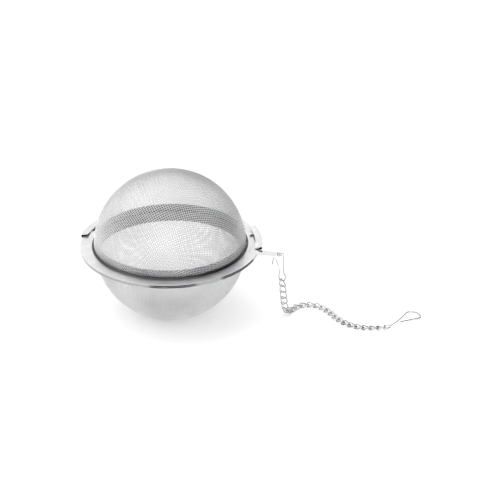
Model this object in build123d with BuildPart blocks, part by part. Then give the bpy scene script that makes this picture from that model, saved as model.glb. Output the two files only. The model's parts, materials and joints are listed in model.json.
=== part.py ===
"""Tea infuser: a two-part wire-mesh ball with a twist-lock collar, a tab with a wire clip, a curb chain and
an end hook. Millimetres, +Z up. The origin is the centre of the small flat foot that the ball stands on."""

import os
from math import cos, radians, sin, sqrt

from build123d import *

# ---------------------------------------------------------------- driving dimensions
ball_radius = 35.0  # outside of both mesh bowls
mesh_thickness = 0.5  # two crossing wires
foot_radius = 8.0  # flattened bottom of the lower bowl
seam_height = sqrt(ball_radius**2 - foot_radius**2)  # the two halves meet here

seam_gap = 0.05  # each half stops this far from the seam plane
rim_inset = 0.05  # mesh and bands stop this much earlier than the collars
sheet = 0.65  # thickness of both collar rings
collar_inner = ball_radius + 0.15
collar_outer = 41.2
neck_wall = 0.4  # the short upright neck that hugs the mesh
neck_height = 1.55  # from the seam to the neck's free edge
neck_bend = 0.15  # the sheet turns from flange to neck in this radius
edge_round = 0.08

band_wall = 0.4  # inner clamping bands
band_outer = ball_radius - mesh_thickness - 0.1
lower_band_depth = 4.5
upper_band_start = 0.6
upper_band_rise = 4.2
spigot_outer = 33.75  # the lid's spigot turns inside the lower band
spigot_wall = 0.4
spigot_depth = 2.0
flare_start = 0.35  # the spigot flares out to join the lid's band
flare_end = 0.65
flare_wall = 0.3
flare_inset = 0.05

lug_angles = (7.0, 156.0)  # middle of each folded lug of the lower collar
lug_half_angle = 14.5
lug_outer = 42.6
lug_fold_inner = 39.1
lug_wall = 0.5
lug_clearance = 0.18  # above the lid's flange
lug_bend = 0.35
lug_stop_angle = 5.5  # over this angle the fold is pressed down, which stops the lid's flange
lug_entry_angle = 7.0  # over this angle the fold is flared up, where the lid's flange enters
lug_entry_lift = 0.8
root_overlap = 0.5  # lugs and tab start this far inside the flange's edge
release_angle = 9.0  # the lid turns this far, anticlockwise, until notches and lugs line up
notch_half_angle = 15.0
notch_inner = 37.0
notch_round = 2.0
cut_margin = 1.0

tab_angle = -11.6
tab_width = 4.5
tab_hole_at = 50.2
tab_hole_radius = 0.95
tab_relief_radius = 0.3

wire = 0.5  # clip, chain and hook wire diameter
wire_play = 0.25  # free gap where two wires hang in each other

link_count = 23
link_pitch = 3.4
link_width = 3.2
link_twist = 30.0  # each end of a curb link leans this far from the link's flat
link_corner = 1.0
route_reach = 0.999  # joints stay within this share of the route
search_span = 0.25

# The chain hangs from the clip's eye, touches down and lies in loose curves.
# Free route of the chain's joints after the eye: down, then along the table.
chain_route = [
    (51.75, -9.75, 15.2),
    (52.25, -8.8, 9.8),
    (52.85, -7.65, 5.2),
    (53.7, -6.1, 2.0),
    (55.0, -3.8, 0.87),
    (56.5, -1.5, 0.83),
    (58.7, 0.6, 0.81),
    (61.6, 2.2, 0.81),
    (65.2, 2.6, 0.81),
    (68.7, 1.2, 0.81),
    (71.5, -1.6, 0.81),
    (73.9, -5.2, 0.81),
    (76.3, -9.4, 0.81),
    (79.2, -13.6, 0.81),
    (82.6, -16.5, 0.81),
    (86.2, -18.3, 0.83),
    (90.2, -19.3, 0.93),
    (94.2, -19.5, 1.08),
    (98.2, -19.1, 1.2),
]
first_rolls = (0.0, -10.0, -19.0, -24.0, -16.0, -8.0)  # the hanging links turn their flats to -Y
last_rolls = (-7.0, -14.0, -21.0)  # the last links lean up into the hook's eye

# Clip outline in the plane of the tab: outward from the tab's hole, sideways, and up from its mid-plane.
clip_points = [
    (-2.4, 0.0, -5.0),
    (-1.95, 0.0, -1.3),
    (-0.1, 0.0, -1.1),
    (0.05, 0.0, 1.0),
    (2.8, 0.0, 0.95),
    (2.8, 0.0, -8.9),
    (3.7, 0.0, -10.6),
    (3.3, 0.0, -13.1),
    (0.95, 0.0, -13.1),
    (0.6, 0.0, -10.6),
    (1.15, 0.0, -7.6),
    (-1.6, 0.7, -1.3),
]
clip_radii = (0.5, 0.5, 0.5, 0.8, 1.0, 1.0, 1.05, 1.05, 1.0, 1.0)
eye_bottom = (2.125, -13.1)

# Hook outline in its own plane: along from the eye's centre, and across. It starts at the eye's free end.
hook_eye_radius = 1.35
hook_points = [
    (1.3, -1.25),
    (-1.35, -1.4),
    (-1.35, 1.4),
    (1.35, 1.4),
    (2.0, -0.4),
    (7.4, 0.1),
    (18.8, 3.35),
    (21.8, 0.2),
    (19.5, -4.8),
    (8.7, -1.05),
]
hook_radii = (1.3, 1.3, 1.0, 0.8, 4.0, 2.4, 2.2, 2.0)
hook_slope = 2.3  # degrees down from the eye to the table
hook_heading = 44.0  # degrees from +X, seen from above


# ---------------------------------------------------------------- helpers
def meridian(angle):
    """The upright half-plane through the ball's axis at this bearing."""
    a = radians(angle)
    return Plane(origin=(0, 0, 0), x_dir=(cos(a), sin(a), 0), z_dir=(sin(a), -cos(a), 0))


def sphere_r(radius, z):
    """Radius of the circle that a height cuts from a ball-centred sphere."""
    return sqrt(radius**2 - (z - seam_height) ** 2)


def on_sphere(radius, z):
    return (sphere_r(radius, z), z)


def mid_on_sphere(radius, z_low, z_high):
    """A point of the sphere between two heights, for an arc through three points."""
    return on_sphere(radius, (z_low + z_high) / 2)


def along(route, start, step):
    """The parameter one straight step further along a curve than start."""
    low, high = start, min(start + search_span, route_reach)
    here = route @ start
    for _ in range(50):
        mid = (low + high) / 2
        if (route @ mid - here).length < step:
            low = mid
        else:
            high = mid
    return high


# ---------------------------------------------------------------- lower half
seam_below = seam_height - seam_gap
inner_radius = ball_radius - mesh_thickness

with BuildPart() as lower_mesh:
    with BuildSketch(Plane.XZ):
        with BuildLine():
            top = seam_below - rim_inset
            foot_inner = (sphere_r(inner_radius, mesh_thickness), mesh_thickness)
            ThreePointArc(
                (foot_radius, 0), mid_on_sphere(ball_radius, 0, top), on_sphere(ball_radius, top)
            )
            Line(on_sphere(ball_radius, top), on_sphere(inner_radius, top))
            ThreePointArc(
                on_sphere(inner_radius, top),
                mid_on_sphere(inner_radius, mesh_thickness, top),
                foot_inner,
            )
            Polyline(foot_inner, (0, mesh_thickness), (0, 0), (foot_radius, 0))
        make_face()
    revolve(axis=Axis.Z)
lower_mesh.part.label = "lower_mesh"


def zone(radius, wall, z_low, z_high):
    """Outline of a thin spherical zone, for revolving."""
    with BuildSketch(Plane.XZ, mode=Mode.PRIVATE) as outline:
        with BuildLine():
            inner = radius - wall
            ThreePointArc(
                on_sphere(radius, z_low),
                mid_on_sphere(radius, z_low, z_high),
                on_sphere(radius, z_high),
            )
            Line(on_sphere(radius, z_high), on_sphere(inner, z_high))
            ThreePointArc(
                on_sphere(inner, z_high),
                mid_on_sphere(inner, z_low, z_high),
                on_sphere(inner, z_low),
            )
            Line(on_sphere(inner, z_low), on_sphere(radius, z_low))
        make_face()
    return outline.sketch


with BuildPart() as lower_band:
    add(zone(band_outer, band_wall, seam_height - lower_band_depth, seam_below - rim_inset))
    revolve(axis=Axis.Z)
lower_band.part.label = "lower_band"


def collar_section(seam_side, away):
    """Outline of a collar ring for revolving: a flat flange, a bend and an upright neck.

    seam_side is the flange's face at the seam. away is 1 above the seam and -1 below it."""
    flange_back = seam_side + away * sheet
    neck_end = seam_height + away * neck_height
    neck_outer = collar_inner + neck_wall
    with BuildSketch(Plane.XZ, mode=Mode.PRIVATE) as section:
        with BuildLine():
            Polyline(
                (collar_inner, seam_side),
                (collar_outer, seam_side),
                (collar_outer, flange_back),
                (neck_outer, flange_back),
                (neck_outer, neck_end),
                (collar_inner, neck_end),
                close=True,
            )
        make_face()
        on_neck = vertices().filter_by(lambda v: abs(v.X - neck_outer) < edge_round).sort_by(Axis.Y)
        inner_bend, free_edge = (on_neck[0], on_neck[1]) if away > 0 else (on_neck[1], on_neck[0])
        fillet(inner_bend, neck_bend)
        fillet(free_edge, edge_round)
        fillet(vertices().filter_by(lambda v: v.X > collar_outer - edge_round / 2), edge_round)
    return section.sketch


flange_bottom = seam_below - sheet
lug_root = collar_outer - root_overlap
fold_bottom = seam_height + seam_gap + sheet + lug_clearance


def lug_section(angle, inner_lift=0.0, outer_lift=0.0):
    """The folded lug's C-shaped section at this bearing, with its fold lifted or pressed down."""
    with BuildSketch(meridian(angle), mode=Mode.PRIVATE) as section:
        with BuildLine():
            Polyline(
                (lug_root, flange_bottom),
                (lug_outer, flange_bottom),
                (lug_outer, fold_bottom + lug_wall + outer_lift),
                (lug_fold_inner, fold_bottom + lug_wall + inner_lift),
                (lug_fold_inner, fold_bottom + inner_lift),
                (lug_outer - lug_wall, fold_bottom + outer_lift),
                (lug_outer - lug_wall, seam_below),
                (lug_root, seam_below),
                close=True,
            )
        make_face()
        fillet(vertices().filter_by(lambda v: v.X > lug_outer - lug_wall / 2), lug_bend)
    return section.sketch


with BuildPart() as lower_collar:
    add(collar_section(seam_below, -1))
    revolve(axis=Axis.Z)
    for lug_angle in lug_angles:
        stop_end = lug_angle - lug_half_angle
        plain_start = stop_end + lug_stop_angle
        entry_end = lug_angle + lug_half_angle
        plain_end = entry_end - lug_entry_angle
        add(lug_section(plain_start))
        revolve(axis=Axis.Z, revolution_arc=plain_end - plain_start)
        pressed = seam_height - fold_bottom
        loft([lug_section(stop_end, inner_lift=pressed), lug_section(plain_start)], ruled=True)
        flared = lug_section(entry_end, inner_lift=lug_entry_lift, outer_lift=lug_entry_lift / 2)
        loft([lug_section(plain_end), flared], ruled=True)
    with BuildSketch(Plane.XY.offset(flange_bottom).rotated((0, 0, tab_angle))):
        with Locations((tab_hole_at, 0)):
            Circle(tab_width / 2)
        with Locations(((tab_hole_at + lug_root) / 2, 0)):
            Rectangle(tab_hole_at - lug_root, tab_width)
        with Locations((tab_hole_at, 0)):
            Circle(tab_hole_radius, mode=Mode.SUBTRACT)
    extrude(amount=sheet)
    with BuildSketch(Plane.XY.offset(flange_bottom).rotated((0, 0, tab_angle))):
        beside_tab = tab_width / 2 + tab_relief_radius
        with Locations((collar_outer, beside_tab), (collar_outer, -beside_tab)):
            Circle(tab_relief_radius)
    extrude(amount=sheet, mode=Mode.SUBTRACT)
lower_collar.part.label = "lower_collar"


# ---------------------------------------------------------------- lid
seam_above = seam_height + seam_gap

with BuildPart() as upper_mesh:
    with BuildSketch(Plane.XZ):
        with BuildLine():
            bottom = seam_above + rim_inset
            diagonal = sin(radians(45))
            ThreePointArc(
                on_sphere(ball_radius, bottom),
                (ball_radius * diagonal, seam_height + ball_radius * diagonal),
                (0, seam_height + ball_radius),
            )
            Line((0, seam_height + ball_radius), (0, seam_height + inner_radius))
            ThreePointArc(
                (0, seam_height + inner_radius),
                (inner_radius * diagonal, seam_height + inner_radius * diagonal),
                on_sphere(inner_radius, bottom),
            )
            Line(on_sphere(inner_radius, bottom), on_sphere(ball_radius, bottom))
        make_face()
    revolve(axis=Axis.Z)
upper_mesh.part.label = "upper_mesh"

with BuildPart() as upper_band:
    add(zone(band_outer, band_wall, seam_above + upper_band_start, seam_height + upper_band_rise))
    revolve(axis=Axis.Z)
    with BuildSketch(Plane.XZ):
        with BuildLine():
            Polyline(
                (spigot_outer, seam_height - spigot_depth),
                (spigot_outer, seam_above + flare_start),
                (band_outer - flare_inset, seam_above + flare_end),
                (band_outer - flare_inset, seam_above + flare_end + flare_wall),
                (spigot_outer - spigot_wall, seam_above + flare_start + spigot_wall),
                (spigot_outer - spigot_wall, seam_height - spigot_depth),
                close=True,
            )
        make_face()
    revolve(axis=Axis.Z)
upper_band.part.label = "upper_band"

with BuildPart() as upper_collar:
    add(collar_section(seam_above, 1))
    revolve(axis=Axis.Z)
    for lug_angle in lug_angles:
        notch_middle = lug_angle - release_angle
        with BuildSketch(Plane.XY.offset(seam_height).rotated((0, 0, notch_middle))):
            with BuildLine():
                ends = [radians(notch_half_angle * side) for side in (-1, 1)]
                outer = collar_outer + cut_margin
                low_in, high_in = [(notch_inner * cos(a), notch_inner * sin(a)) for a in ends]
                low_out, high_out = [(outer * cos(a), outer * sin(a)) for a in ends]
                ThreePointArc(low_in, (notch_inner, 0), high_in)
                Line(high_in, high_out)
                ThreePointArc(high_out, (outer, 0), low_out)
                Line(low_out, low_in)
            make_face()
            fillet(vertices().group_by(lambda v: v.center().length)[0], notch_round)
        extrude(amount=sheet + cut_margin, mode=Mode.SUBTRACT)
upper_collar.part.label = "upper_collar"

# ---------------------------------------------------------------- wire clip
tab_middle = seam_below - sheet / 2
tab_direction = Vector(cos(radians(tab_angle)), sin(radians(tab_angle)), 0)
tab_side = Vector(-tab_direction.Y, tab_direction.X, 0)
tab_hole = tab_direction * tab_hole_at + Vector(0, 0, tab_middle)


def from_hole(out, side, up):
    """A place given from the tab's hole: outward, sideways and up."""
    return tab_hole + tab_direction * out + tab_side * side + Vector(0, 0, up)


def bent_wire(points, radii):
    """A round wire along straight runs joined by tangent arcs."""
    with BuildPart() as bent:
        with BuildLine():
            path = FilletPolyline(*points, radius=radii)
        with BuildSketch(Plane(origin=path @ 0, z_dir=path % 0)):
            Circle(wire / 2)
        sweep(path=path)
    return bent.part


with BuildPart() as wire_clip:
    add(bent_wire([from_hole(*p) for p in clip_points], clip_radii))
wire_clip.part.label = "wire_clip"

# ---------------------------------------------------------------- chain
eye_wire = from_hole(eye_bottom[0], 0, eye_bottom[1])
hang_gap = wire + wire_play
down_the_chain = (Vector(*chain_route[0]) - eye_wire).normalized()
chain_start = eye_wire - down_the_chain * (hang_gap / 2)

route = Spline(chain_start, *[Vector(*p) for p in chain_route])
chain_joints, at = [chain_start], 0.0
for _ in range(link_count):
    at = along(route, at, link_pitch)
    chain_joints.append(route @ at)


def link_frame(start, end, roll):
    """Middle of a link, x along it and z across its flat, turned about x by roll degrees."""
    x_dir = (end - start).normalized()
    side = Vector(0, 0, 1).cross(x_dir).normalized()
    flat_normal = x_dir.cross(side).rotate(Axis((0, 0, 0), x_dir), roll)
    return Plane(origin=(start + end) * 0.5, x_dir=x_dir, z_dir=flat_normal)


half_length = (link_pitch + hang_gap) / 2
half_width = (link_width - wire) / 2 / cos(radians(link_twist))
lean_y = half_width * cos(radians(link_twist))
lean_z = half_width * sin(radians(link_twist))
half_link = [
    (0, lean_y, 0),
    (half_length, lean_y, -lean_z),
    (half_length, -lean_y, lean_z),
    (0, -lean_y, 0),
]
# A curb link is a rounded ring whose two ends lean opposite ways.
# Half a turn about z brings one half onto the other.
with BuildPart() as curb_link:
    half_ring = bent_wire(half_link, link_corner)
    add(half_ring)
    add(half_ring, rotation=(0, 0, 180))

rolls = [0.0] * link_count
rolls[: len(first_rolls)] = first_rolls
rolls[-len(last_rolls) :] = last_rolls
chain_links = []
for number in range(link_count):
    frame = link_frame(chain_joints[number], chain_joints[number + 1], rolls[number])
    with BuildPart() as chain_link:
        with Locations(frame):
            add(curb_link.part)
    chain_link.part.label = f"chain_link_{number + 1:02d}"
    chain_links.append(chain_link.part)

# ---------------------------------------------------------------- end hook
last_joint = chain_joints[-1]
last_run = (chain_joints[-1] - chain_joints[-2]).normalized()
hook_eye = last_joint + last_run * (hook_eye_radius - hang_gap / 2)
heading, slope = radians(hook_heading), radians(hook_slope)
hook_plane = Plane(
    origin=hook_eye,
    x_dir=(cos(heading) * cos(slope), sin(heading) * cos(slope), -sin(slope)),
    z_dir=(cos(heading) * sin(slope), sin(heading) * sin(slope), cos(slope)),
)
with BuildPart() as end_hook:
    add(bent_wire([hook_plane.from_local_coords(Vector(*p, 0)) for p in hook_points], hook_radii))
end_hook.part.label = "end_hook"

# ---------------------------------------------------------------- files
os.makedirs("parts", exist_ok=True)
builders = [lower_mesh, lower_band, lower_collar, upper_mesh, upper_band, upper_collar, wire_clip, end_hook]
for piece in [builder.part for builder in builders] + chain_links:
    export_step(piece, f"parts/{piece.label}.step")
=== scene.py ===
"""Tea infuser: two woven-wire bowls, polished collars and bands, a wire clip, a curb chain and an end hook,
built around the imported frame. Metres, +Z up, in the row frame."""

import json
import math

import bpy
import numpy as np
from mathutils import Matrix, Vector


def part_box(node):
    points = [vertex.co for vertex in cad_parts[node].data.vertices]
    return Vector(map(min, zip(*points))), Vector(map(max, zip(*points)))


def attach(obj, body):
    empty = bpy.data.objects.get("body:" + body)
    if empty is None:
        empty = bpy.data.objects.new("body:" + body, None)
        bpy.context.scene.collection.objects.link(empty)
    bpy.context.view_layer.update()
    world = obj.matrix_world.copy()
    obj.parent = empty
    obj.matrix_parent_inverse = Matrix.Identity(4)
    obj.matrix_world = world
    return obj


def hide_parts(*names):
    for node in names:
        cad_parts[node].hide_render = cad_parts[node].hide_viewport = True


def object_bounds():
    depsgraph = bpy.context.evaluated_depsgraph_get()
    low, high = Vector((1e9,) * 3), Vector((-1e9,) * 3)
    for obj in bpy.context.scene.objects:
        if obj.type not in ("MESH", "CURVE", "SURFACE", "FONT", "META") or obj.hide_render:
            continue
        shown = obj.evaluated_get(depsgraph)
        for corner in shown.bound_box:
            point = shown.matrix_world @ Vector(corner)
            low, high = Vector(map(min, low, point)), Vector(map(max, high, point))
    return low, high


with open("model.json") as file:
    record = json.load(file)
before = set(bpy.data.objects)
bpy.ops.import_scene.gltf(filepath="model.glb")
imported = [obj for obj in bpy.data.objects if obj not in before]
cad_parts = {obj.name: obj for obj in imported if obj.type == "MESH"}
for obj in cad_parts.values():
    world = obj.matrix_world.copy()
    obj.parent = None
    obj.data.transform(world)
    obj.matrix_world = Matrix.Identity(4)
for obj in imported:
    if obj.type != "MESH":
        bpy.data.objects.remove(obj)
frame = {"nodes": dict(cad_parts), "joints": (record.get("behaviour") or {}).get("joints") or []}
frame_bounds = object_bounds()

MM = 0.001

# ---------------------------------------------------------------- driving values
MESH_WIRE = 0.25 * MM
MESH_PITCH = 1.05 * MM
STATIONS_PER_CELL = 4
TUBE_SIDES = 6
START_CAP = np.array([[0, 5, 4, 3], [0, 3, 2, 1]])  # corners of a cut end's two faces
END_CAP = np.array([[0, 1, 2, 3], [0, 3, 4, 5]])
LID_GRID_TURN = math.radians(24)  # how the lid's weave is turned about the ball's axis
BOWL_GRID_TURN = math.radians(-17)

CAMERA_DISTANCE = 660 * MM
CAMERA_ELEVATION = math.radians(27.255)
CAMERA_LENS = 103.27
CAMERA_AIM = Vector((36.6, 0.0, 31.0)) * MM

NECK_RADIUS = 35.85 * MM  # inside this the collar is its upright neck, coloured near black as painted shade for the crease at the flange
FLAT_RADIUS = 41.05 * MM  # outside this are the collar's polished edge, lugs and tab
RIM_RADIUS = 41.35 * MM  # from the flat to this, upright faces are the flange's sheared rim, darkened partly as a duller cut edge and partly as a painted dark reflection
ZONE_RAMP = 0.05 * MM  # half the width over which one zone's look turns into the next
UPRIGHT_BELOW = 0.75  # a face whose normal rises less than this is upright
# painted shade: near-black colour for the neck, standing in for the shade in the crease between neck and
# flange
NECK_PAINTED_SHADE = (0.09, 0.09, 0.092, 1)
# partly a duller sheared edge, partly a painted dark reflection on the rim's upright faces
RIM_SHEAR_AND_PAINTED_SHADE = (0.38, 0.38, 0.385, 1)

NOISE_LOW, NOISE_HIGH = 0.3, 0.7  # most of a noise lies between these
TINT_LOW, TINT_HIGH = 0.35, 0.65  # a tint goes from dark to light between these

FLOOR_HALF = 4.0
FLOOR_WHITE = 0.97
FLAG_BLACK = 0.004
ABOVE_FLOOR = 0.5 * MM  # the flags that lie on the floor
WORLD_STRENGTH = 1.0

joint_places = {joint["name"]: joint["pos_m"] for joint in frame["joints"]}
seam_height = joint_places["lid_twist"][2]
ball_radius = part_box("upper_mesh")[1].x
cloth_radius = ball_radius - MESH_WIRE
rim_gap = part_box("upper_mesh")[0].z - seam_height
floor_height = frame_bounds[0].z


# ---------------------------------------------------------------- mesh helper
def mesh_object(name, vertices, faces, smooth=True):
    """A mesh from a vertex array and an array of faces with the same number of corners."""
    corners = faces.shape[1]
    mesh = bpy.data.meshes.new(name)
    mesh.vertices.add(len(vertices))
    mesh.vertices.foreach_set("co", vertices.astype(np.float32).ravel())
    mesh.loops.add(faces.size)
    mesh.loops.foreach_set("vertex_index", faces.astype(np.int32).ravel())
    mesh.polygons.add(len(faces))
    mesh.polygons.foreach_set("loop_start", np.arange(0, faces.size, corners, dtype=np.int32))
    mesh.polygons.foreach_set("use_smooth", np.full(len(faces), smooth))
    mesh.update(calc_edges=True)
    mesh.validate()
    made = bpy.data.objects.new(name, mesh)
    bpy.context.scene.collection.objects.link(made)
    return made


# ---------------------------------------------------------------- woven bowls
def cloth_surface(u, v, side):
    """Middle of the pressed cloth and its outward normal at flat cloth coordinates.

    Distance from the pole is kept, so the squares close up into diamonds towards the rim.
    side is 1 for the lid and -1 for the lower bowl, whose pole is pressed flat as a foot."""
    reach = np.hypot(u, v)
    polar = reach / cloth_radius
    share = np.sinc(polar / math.pi)
    x = u * share
    y = v * share
    z = seam_height + side * cloth_radius * np.cos(polar)
    normals = np.stack([x, y, z - seam_height], axis=-1) / cloth_radius
    if side < 0:
        foot = floor_height + MESH_WIRE
        flat = z < foot
        z = np.maximum(z, foot)
        normals[flat] = (0, 0, -1)
    return np.stack([x, y, z], axis=-1), normals


def wire_stations(half_run):
    """Even places along a wire, which hit every crossing, and its two cut ends."""
    step = MESH_PITCH / STATIONS_PER_CELL
    count = math.floor((half_run - step / 2) / step)
    places = np.arange(-count, count + 1) * step
    return np.concatenate([[-half_run], places, [half_run]])


def woven_wires(name, side, grid_turn, is_warp, wire_numbers):
    """Round wires of one direction that pass over and under those of the other."""
    edge = cloth_radius * (math.pi / 2 - math.asin((rim_gap + MESH_WIRE / 2) / cloth_radius))
    around = np.arange(TUBE_SIDES) * 2 * math.pi / TUBE_SIDES
    all_vertices, all_faces, count = [], [], 0
    for number in wire_numbers:
        offset = (number + 0.5) * MESH_PITCH
        if edge**2 - offset**2 < MESH_PITCH**2:
            continue
        places = wire_stations(math.sqrt(edge**2 - offset**2))
        across = np.full_like(places, offset)
        flat = (across, places) if is_warp else (places, across)
        u = flat[0] * math.cos(grid_turn) - flat[1] * math.sin(grid_turn)
        v = flat[0] * math.sin(grid_turn) + flat[1] * math.cos(grid_turn)
        middle, normals = cloth_surface(u, v, side)
        first_side = (1 if is_warp else -1) * (-1) ** number
        weave = first_side * np.sin(places / MESH_PITCH * math.pi)
        middle = middle + normals * (weave * MESH_WIRE / 2)[:, None]
        tangents = np.gradient(middle, axis=0)
        tangents /= np.linalg.norm(tangents, axis=1, keepdims=True)
        sideways = np.cross(tangents, normals)
        sideways /= np.linalg.norm(sideways, axis=1, keepdims=True)
        upward = np.cross(sideways, tangents)
        ring = (
            upward[:, None, :] * np.cos(around)[None, :, None]
            + sideways[:, None, :] * np.sin(around)[None, :, None]
        ) * (MESH_WIRE / 2)
        all_vertices.append((middle[:, None, :] + ring).reshape(-1, 3))
        rows = np.arange(len(places) - 1)[:, None] * TUBE_SIDES
        here = np.arange(TUBE_SIDES)[None, :]
        beside = (here + 1) % TUBE_SIDES
        faces = np.stack(
            [rows + here, rows + beside, rows + TUBE_SIDES + beside, rows + TUBE_SIDES + here], axis=-1
        )
        last_ring = (len(places) - 1) * TUBE_SIDES
        all_faces.append(faces.reshape(-1, 4) + count)
        all_faces.append(START_CAP + count)
        all_faces.append(END_CAP + count + last_ring)
        count += len(places) * TUBE_SIDES
    return mesh_object(name, np.concatenate(all_vertices), np.concatenate(all_faces))


def woven_bowl(node, body, side, grid_turn):
    """Both wire directions of one bowl, each in two halves, standing for the plain CAD shell."""
    half_count = math.ceil(cloth_radius * math.pi / 2 / MESH_PITCH) + 1
    halves = (range(-half_count, 0), range(half_count))
    pieces = []
    for is_warp, direction in ((True, "warp"), (False, "weft")):
        for half, numbers in enumerate(halves):
            piece = woven_wires(f"{node}_{direction}_{half + 1}", side, grid_turn, is_warp, numbers)
            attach(piece, body)
            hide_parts(node)
            pieces.append(piece)
    return pieces


mesh_pieces = woven_bowl("upper_mesh", "lid", 1, LID_GRID_TURN)
mesh_pieces += woven_bowl("lower_mesh", "base", -1, BOWL_GRID_TURN)


# ---------------------------------------------------------------- materials
def new_steel(name, colour, roughness):
    """A metal material, its node tree and its shader, with plain values where no node is linked."""
    material = bpy.data.materials.new(name)
    material.use_nodes = True
    tree = material.node_tree
    shader = tree.nodes["Principled BSDF"]
    shader.inputs["Base Color"].default_value = (*colour, 1)
    shader.inputs["Metallic"].default_value = 1.0
    shader.inputs["Roughness"].default_value = roughness
    return material, tree, shader


def add_noise(tree, source, scale, detail):
    noise = tree.nodes.new("ShaderNodeTexNoise")
    noise.inputs["Scale"].default_value = scale
    noise.inputs["Detail"].default_value = detail
    tree.links.new(source, noise.inputs["Vector"])
    return noise.outputs["Fac"]


def spread(tree, source, low, high):
    """Maps a noise value, which stays near the middle, to a range."""
    mapped = tree.nodes.new("ShaderNodeMapRange")
    mapped.inputs["From Min"].default_value = NOISE_LOW
    mapped.inputs["From Max"].default_value = NOISE_HIGH
    mapped.inputs["To Min"].default_value = low
    mapped.inputs["To Max"].default_value = high
    tree.links.new(source, mapped.inputs["Value"])
    return mapped.outputs["Result"]


def tint(tree, source, dark, light):
    ramp = tree.nodes.new("ShaderNodeValToRGB")
    ramp.color_ramp.elements[0].position = TINT_LOW
    ramp.color_ramp.elements[0].color = (*dark, 1)
    ramp.color_ramp.elements[1].position = TINT_HIGH
    ramp.color_ramp.elements[1].color = (*light, 1)
    tree.links.new(source, ramp.inputs["Fac"])
    return ramp.outputs["Color"]


def add_bump(tree, shader, height, distance, strength):
    bump = tree.nodes.new("ShaderNodeBump")
    bump.inputs["Distance"].default_value = distance
    bump.inputs["Strength"].default_value = strength
    tree.links.new(height, bump.inputs["Height"])
    tree.links.new(bump.outputs["Normal"], shader.inputs["Normal"])


def place_node(tree):
    return tree.nodes.new("ShaderNodeTexCoord").outputs["Object"]


def woven_steel():
    """Bright annealed wire: slight colour drift over the bowl and fine drawing marks."""
    material, tree, shader = new_steel("woven_steel", (0.66, 0.66, 0.67), 0.25)
    place = place_node(tree)
    drift = add_noise(tree, place, 60, 3)
    marks = add_noise(tree, place, 5200, 2)
    tree.links.new(tint(tree, drift, (0.60, 0.60, 0.61), (0.72, 0.72, 0.72)), shader.inputs["Base Color"])
    tree.links.new(spread(tree, marks, 0.24, 0.38), shader.inputs["Roughness"])
    add_bump(tree, shader, marks, 0.02 * MM, 0.25)
    return material


def step_at(tree, value, edge):
    """0 below the edge and 1 above it, over a short ramp."""
    mapped = tree.nodes.new("ShaderNodeMapRange")
    mapped.inputs["From Min"].default_value = edge - ZONE_RAMP
    mapped.inputs["From Max"].default_value = edge + ZONE_RAMP
    tree.links.new(value, mapped.inputs["Value"])
    return mapped.outputs["Result"]


def blend(tree, kind, factor, first, second):
    """Goes from the first value to the second. The first may be a constant."""
    mix = tree.nodes.new("ShaderNodeMix")
    mix.data_type = kind
    tree.links.new(factor, mix.inputs["Factor"])
    a, b = [[socket for socket in mix.inputs if socket.name == name and socket.enabled][0] for name in "AB"]
    if isinstance(first, tuple):
        a.default_value = first
    else:
        tree.links.new(first, a)
    tree.links.new(second, b)
    return [socket for socket in mix.outputs if socket.enabled][0]


def calculate(tree, operation, first, second=None):
    """One step of arithmetic on sockets or constants."""
    node = tree.nodes.new("ShaderNodeMath")
    node.operation = operation
    for socket, value in zip(node.inputs, (first, second)):
        if isinstance(value, float):
            socket.default_value = value
        elif value is not None:
            tree.links.new(value, socket)
    return node.outputs["Value"]


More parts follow.
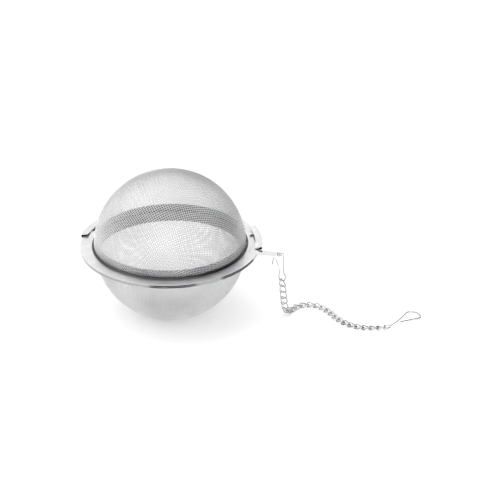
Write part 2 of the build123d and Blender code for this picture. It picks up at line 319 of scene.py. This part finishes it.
def spun_steel():
    """Pressed sheet with faint rings left by spinning: a neck coloured near black as painted shade for the
    crease, a satin flange, bright edges, and upright rim faces darkened partly as a duller sheared edge and
    partly as a painted dark reflection.
    """
    material, tree, shader = new_steel("spun_steel", (0.82, 0.82, 0.83), 0.14)
    place = place_node(tree)
    flatten = tree.nodes.new("ShaderNodeVectorMath")
    flatten.operation = "MULTIPLY"
    flatten.inputs[1].default_value = (1, 1, 0)
    tree.links.new(place, flatten.inputs[0])
    radius = tree.nodes.new("ShaderNodeVectorMath")
    radius.operation = "LENGTH"
    tree.links.new(flatten.outputs["Vector"], radius.inputs[0])
    parts = tree.nodes.new("ShaderNodeSeparateXYZ")
    tree.links.new(place, parts.inputs["Vector"])
    rings = tree.nodes.new("ShaderNodeCombineXYZ")
    tree.links.new(radius.outputs["Value"], rings.inputs["X"])
    tree.links.new(parts.outputs["Z"], rings.inputs["Z"])
    ring_marks = add_noise(tree, rings.outputs["Vector"], 6500, 3)
    patches = add_noise(tree, place, 170, 4)
    polished = tint(tree, patches, (0.79, 0.79, 0.80), (0.86, 0.86, 0.86))
    # painted shade: marks the neck, inside the neck radius, which takes the near-black crease colour
    past_neck_shade = step_at(tree, radius.outputs["Value"], NECK_RADIUS)
    past_flat = step_at(tree, radius.outputs["Value"], FLAT_RADIUS)
    facing = tree.nodes.new("ShaderNodeSeparateXYZ")
    tree.links.new(tree.nodes.new("ShaderNodeTexCoord").outputs["Normal"], facing.inputs["Vector"])
    flatness = calculate(tree, "ABSOLUTE", facing.outputs["Z"])
    level = calculate(tree, "GREATER_THAN", flatness, UPRIGHT_BELOW)
    # the rim's upright faces take the darker rim colour: partly a duller sheared edge, partly a painted dark
    # reflection
    beyond_rim = step_at(tree, radius.outputs["Value"], RIM_RADIUS)
    inside_flat = calculate(tree, "SUBTRACT", 1.0, past_flat)
    off_rim = calculate(tree, "MAXIMUM", calculate(tree, "MAXIMUM", level, beyond_rim), inside_flat)
    with_rim_shade = blend(tree, "RGBA", off_rim, RIM_SHEAR_AND_PAINTED_SHADE, polished)
    # painted shade: inside the neck radius the collar takes the near-black colour in place of the crease's
    # shade
    tree.links.new(blend(tree, "RGBA", past_neck_shade, NECK_PAINTED_SHADE, with_rim_shade), shader.inputs["Base Color"])
    satin, bright = spread(tree, patches, 0.27, 0.35), spread(tree, patches, 0.06, 0.12)
    tree.links.new(blend(tree, "FLOAT", past_flat, satin, bright), shader.inputs["Roughness"])
    add_bump(tree, shader, ring_marks, 0.01 * MM, 0.2)
    return material


def drawn_steel():
    """Bright drawn wire with fine marks."""
    material, tree, shader = new_steel("drawn_steel", (0.42, 0.42, 0.43), 0.16)
    place = place_node(tree)
    marks = add_noise(tree, place, 3000, 3)
    patches = add_noise(tree, place, 260, 3)
    tree.links.new(tint(tree, patches, (0.34, 0.34, 0.35), (0.50, 0.50, 0.50)), shader.inputs["Base Color"])
    tree.links.new(spread(tree, patches, 0.12, 0.24), shader.inputs["Roughness"])
    add_bump(tree, shader, marks, 0.012 * MM, 0.2)
    return material


def band_steel_painted_shade():
    """The clamping bands inside the bowls: sheet coloured far darker than the collars as painted shade for
    the gap behind the mesh.
    """
    # painted shade: the dark base colours stand in for the shade inside the bowls behind the mesh
    material, tree, shader = new_steel("band_steel_painted_shade", (0.18, 0.18, 0.185), 0.2)
    place = place_node(tree)
    patches = add_noise(tree, place, 240, 4)
    tree.links.new(tint(tree, patches, (0.13, 0.13, 0.135), (0.23, 0.23, 0.23)), shader.inputs["Base Color"])
    tree.links.new(spread(tree, patches, 0.16, 0.28), shader.inputs["Roughness"])
    add_bump(tree, shader, add_noise(tree, place, 2400, 2), 0.01 * MM, 0.2)
    return material


def dress(piece, material):
    piece.data.materials.clear()
    piece.data.materials.append(material)


woven, spun, drawn, band_with_painted_shade = woven_steel(), spun_steel(), drawn_steel(), band_steel_painted_shade()
for piece in mesh_pieces:
    dress(piece, woven)
for name, node in frame["nodes"].items():
    if name in ("upper_mesh", "lower_mesh"):
        continue
    if name.endswith("_collar"):
        dress(node, spun)
    # the bands take the dark material that paints the shade behind the mesh
    elif name.endswith("_band"):
        dress(node, band_with_painted_shade)
    else:
        dress(node, drawn)


# ---------------------------------------------------------------- floor, light and camera
def plain(name, colour, roughness):
    material = bpy.data.materials.new(name)
    material.use_nodes = True
    shader = material.node_tree.nodes["Principled BSDF"]
    shader.inputs["Base Color"].default_value = (*colour, 1)
    shader.inputs["Roughness"].default_value = roughness
    shader.inputs["Specular IOR Level"].default_value = 0.1
    return material


def card(name, middle, right, up, material):
    """A flat rectangle from its middle and two half sides."""
    corners = [middle - right - up, middle + right - up, middle + right + up, middle - right + up]
    made = mesh_object(name, np.array([list(c) for c in corners]), np.array([[0, 1, 2, 3]]), smooth=False)
    dress(made, material)
    return made


card(
    "floor",
    Vector((0, 0, floor_height)),
    Vector((FLOOR_HALF, 0, 0)),
    Vector((0, FLOOR_HALF, 0)),
    plain("floor_white", (FLOOR_WHITE, FLOOR_WHITE, FLOOR_WHITE), 0.7),
)


def soft_light(name, place, aim, size, power):
    lamp = bpy.data.lights.new(name, "AREA")
    lamp.shape = "RECTANGLE"
    lamp.size, lamp.size_y = size
    lamp.energy = power
    holder = bpy.data.objects.new(name, lamp)
    holder.location = place
    holder.rotation_euler = (Vector(aim) - Vector(place)).to_track_quat("-Z", "Y").to_euler()
    bpy.context.scene.collection.objects.link(holder)


def flag(name, middle, right, up):
    """A black studio flag that only reflections see. It gives the collars their dark reflections."""
    black = plain(name, (FLAG_BLACK, FLAG_BLACK, FLAG_BLACK), 0.9)
    made = card(name, middle, right, up, black)
    made.visible_camera = False
    made.visible_diffuse = False
    made.visible_shadow = False
    return made


ball_middle = Vector((0, 0, seam_height))
soft_light("key_light", (-0.6, -0.2, 0.7), ball_middle, (0.7, 0.7), 2.5)
soft_light("top_light", (0.0, 0.15, 0.95), ball_middle, (0.9, 0.9), 3.0)
soft_light("front_light", (0.1, -0.9, 0.13), ball_middle, (1.0, 0.24), 4.5)
flag("camera_flag", Vector((0.2, -0.62, 0.41)), Vector((0.5, 0, 0)), Vector((0, 0, 0.2)))
flag("side_flag", Vector((0.45, -0.08, 0.28)), Vector((0, 0.3, 0)), Vector((0, 0, 0.28)))
flag("lip_flag", Vector((0.012, -0.103, ABOVE_FLOOR)), Vector((0.044, 0, 0)), Vector((0, 0.014, 0)))
flag("edge_flag", Vector((0.088, -0.012, ABOVE_FLOOR)), Vector((0.009, 0, 0)), Vector((0, 0.042, 0)))

world = bpy.data.worlds.new("studio")
world.use_nodes = True
bpy.context.scene.world = world
world.node_tree.nodes["Background"].inputs["Color"].default_value = (1, 1, 1, 1)
world.node_tree.nodes["Background"].inputs["Strength"].default_value = WORLD_STRENGTH

camera_data = bpy.data.cameras.new("camera")
camera_data.lens = CAMERA_LENS
camera_data.clip_start = 0.01
camera_data.clip_end = 20
camera = bpy.data.objects.new("camera", camera_data)
looking = Vector((0, math.cos(CAMERA_ELEVATION), -math.sin(CAMERA_ELEVATION)))
camera.location = CAMERA_AIM - looking * CAMERA_DISTANCE
camera.rotation_euler = (math.pi / 2 - CAMERA_ELEVATION, 0, 0)
bpy.context.scene.collection.objects.link(camera)
bpy.context.scene.camera = camera
bpy.context.scene.view_settings.view_transform = "Standard"
